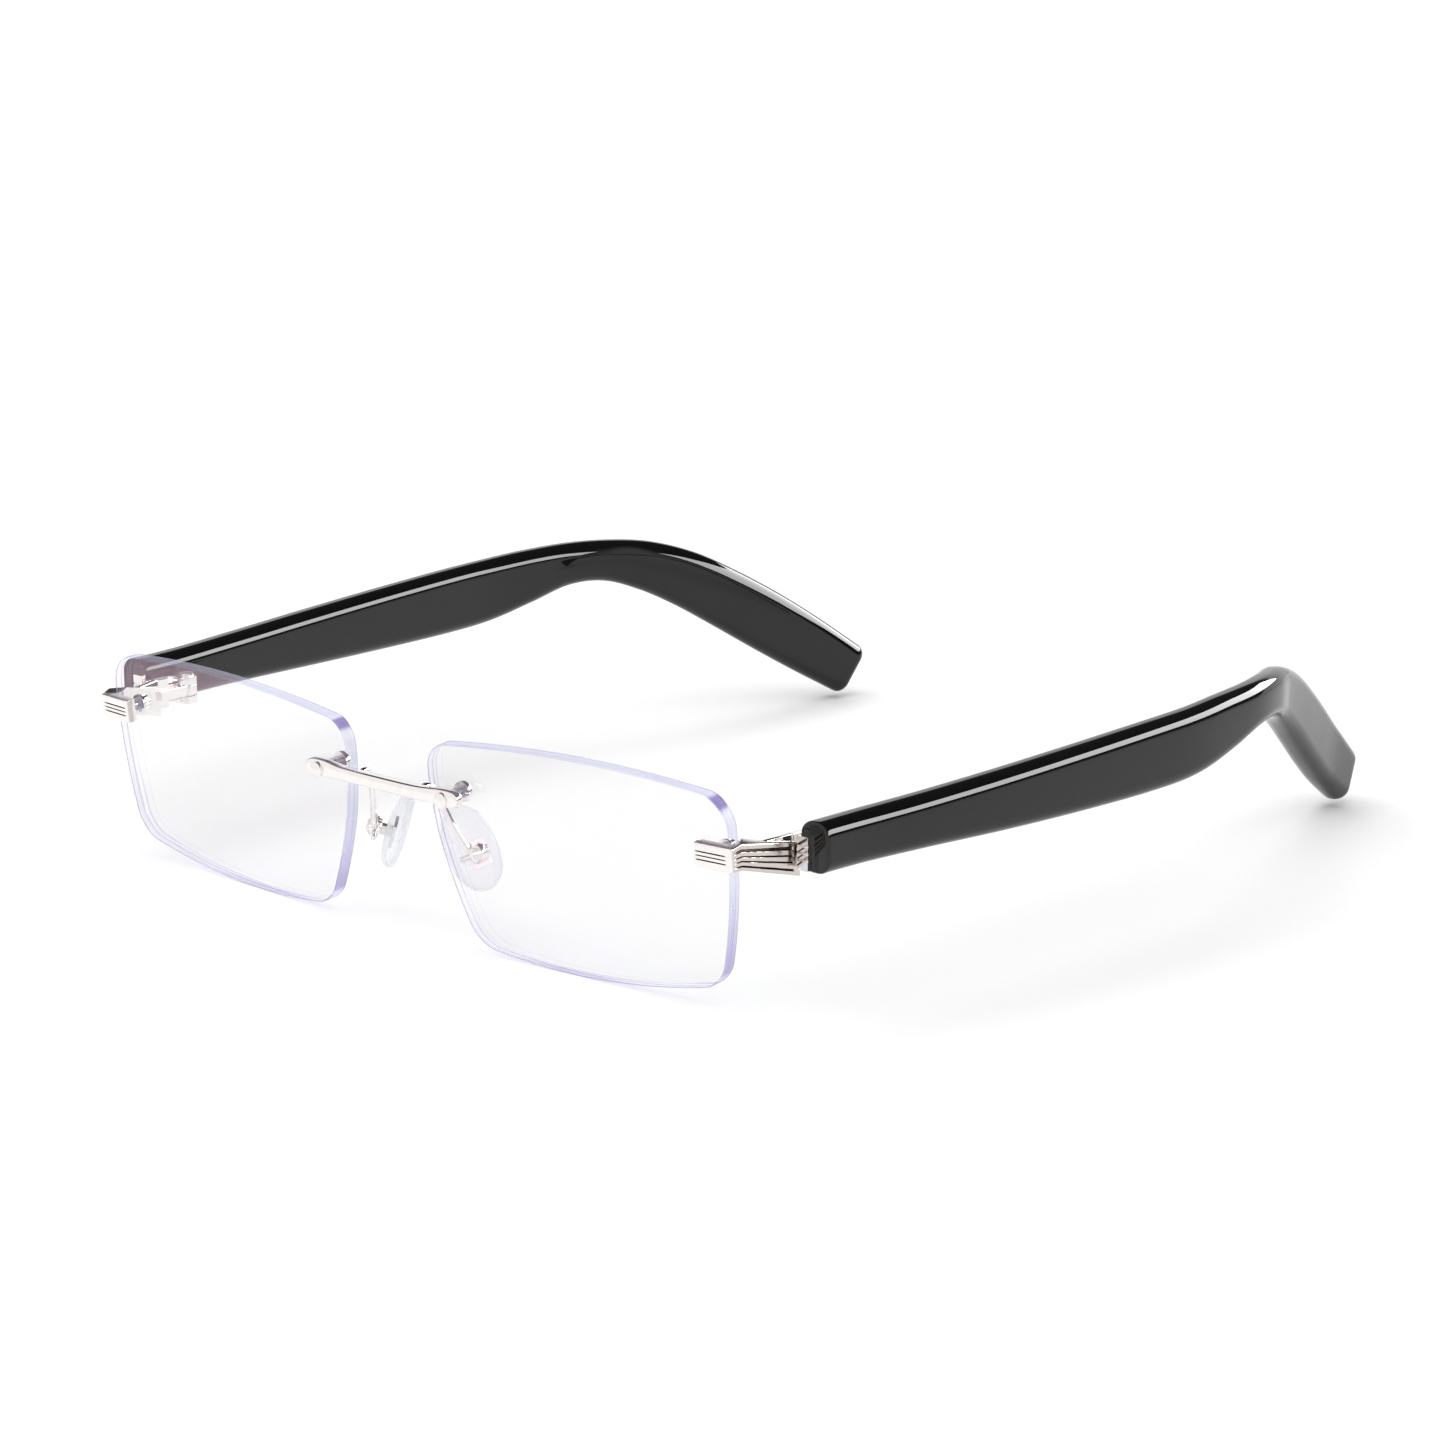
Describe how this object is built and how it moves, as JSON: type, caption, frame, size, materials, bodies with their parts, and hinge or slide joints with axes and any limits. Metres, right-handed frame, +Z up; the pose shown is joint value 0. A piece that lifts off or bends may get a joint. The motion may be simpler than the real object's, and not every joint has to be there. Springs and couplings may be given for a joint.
{
  "type": "rimless eyeglasses",
  "caption": "Rimless eyeglasses with drilled rectangular lenses, a slim metal bridge, adjustable nose pads and thick black temples that fold on barrel hinges.",
  "frame": {"origin": "on the floor under the middle of the whole object's bounding box, as it stands open on its lenses and temple tips", "axes": "+X towards the wearer's left, +Y from the lenses back to the temple tips, +Z up"},
  "size_m": [0.1514, 0.1566, 0.0319],
  "materials": {
    "lens": "clear, with a faint lavender anti-reflection coating",
    "bright_metal": "polished pale silver with a warm tint",
    "screw_steel": "turned steel",
    "insert_metal": "plain stamped metal",
    "core_wire": "plain drawn wire",
    "clear_plastic": "clear moulded plastic",
    "silicone": "clear soft silicone",
    "black_acetate": "polished black acetate"
  },
  "bodies": {
    "front": {"lens_left": "lens", "lens_right": "lens", "bridge": "bright_metal", "bridge_screw_left": "screw_steel", "bridge_screw_right": "screw_steel", "bridge_bushing_left": "clear_plastic", "bridge_bushing_right": "clear_plastic", "bridge_washer_left": "bright_metal", "bridge_washer_right": "bright_metal", "bridge_nut_left": "screw_steel", "bridge_nut_right": "screw_steel", "end_piece_left": "bright_metal", "end_piece_right": "bright_metal", "end_bushing_left": "clear_plastic", "end_bushing_right": "clear_plastic", "end_washer_left": "bright_metal", "end_washer_right": "bright_metal", "end_nut_left": "screw_steel", "end_nut_right": "screw_steel", "hinge_tongue_left": "bright_metal", "hinge_tongue_right": "bright_metal", "pad_arm_left": "bright_metal", "pad_arm_right": "bright_metal", "pad_screw_left": "screw_steel", "pad_screw_right": "screw_steel"},
    "temple_left": {"hinge_plate_left": "bright_metal", "hinge_screw_left": "screw_steel", "temple_left": "black_acetate", "temple_core_left": "core_wire", "temple_pin_left": "screw_steel"},
    "temple_right": {"hinge_plate_right": "bright_metal", "hinge_screw_right": "screw_steel", "temple_right": "black_acetate", "temple_core_right": "core_wire", "temple_pin_right": "screw_steel"},
    "pad_left": {"pad_insert_left": "insert_metal", "nose_pad_left": "silicone"},
    "pad_right": {"pad_insert_right": "insert_metal", "nose_pad_right": "silicone"}
  },
  "joints": [
    {"name": "temple_left_hinge", "type": "hinge", "parent": "front", "child": "temple_left", "pos_m": [0.0656, -0.05646, 0.022], "axis": [0, 0, 1], "range_deg": [0, 86]},
    {"name": "temple_right_hinge", "type": "hinge", "parent": "front", "child": "temple_right", "pos_m": [-0.0656, -0.05646, 0.022], "axis": [0, 0, -1], "range_deg": [0, 76]},
    {"name": "pad_left_rock", "type": "hinge", "parent": "front", "child": "pad_left", "pos_m": [0.0106, -0.06846, 0.0127], "axis": [0.5736, 0.7299, 0.3719], "range_deg": [-12, 12]},
    {"name": "pad_right_rock", "type": "hinge", "parent": "front", "child": "pad_right", "pos_m": [-0.0106, -0.06846, 0.0127], "axis": [-0.5736, 0.7299, 0.3719], "range_deg": [-12, 12]}
  ]
}
